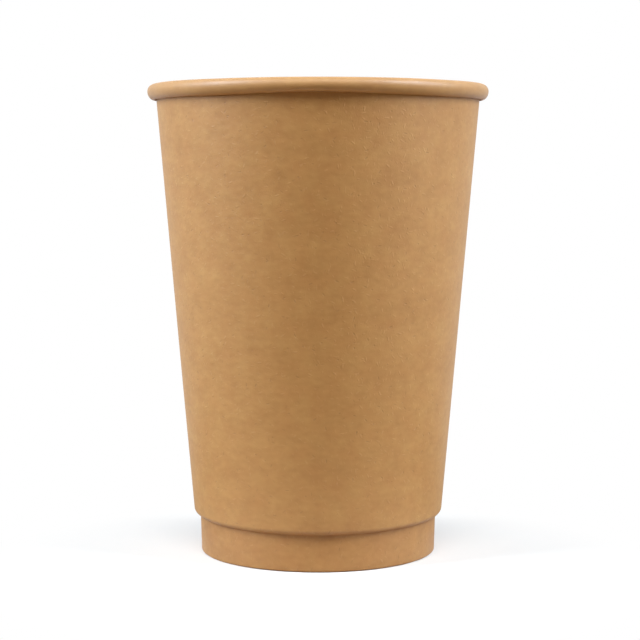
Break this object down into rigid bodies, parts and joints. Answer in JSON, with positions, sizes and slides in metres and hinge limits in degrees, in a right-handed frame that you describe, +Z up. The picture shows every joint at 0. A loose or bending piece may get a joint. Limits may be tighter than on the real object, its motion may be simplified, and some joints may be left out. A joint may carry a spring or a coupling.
{
  "type": "paper coffee cup",
  "caption": "Tall double-walled kraft paper cup for hot drinks, with a rolled rim, a recessed base and a turned-in outer wall edge.",
  "frame": {"origin": "centre of the ring that the cup stands on", "axes": "+Z up along the cup's axis; -Y is the front, the lap seams are at the back, on the +Y side"},
  "size_m": [0.09, 0.09, 0.124],
  "materials": {
    "cup_board": "brown kraft board with a thin clear coating on its inner face",
    "base_board": "brown kraft board with a thin clear coating on its upper face",
    "sleeve_board": "uncoated matte brown kraft board with short light and dark fibres"
  },
  "bodies": {
    "root": {"cup_wall": "cup_board", "cup_base": "base_board", "outer_sleeve": "sleeve_board"}
  },
  "joints": []
}
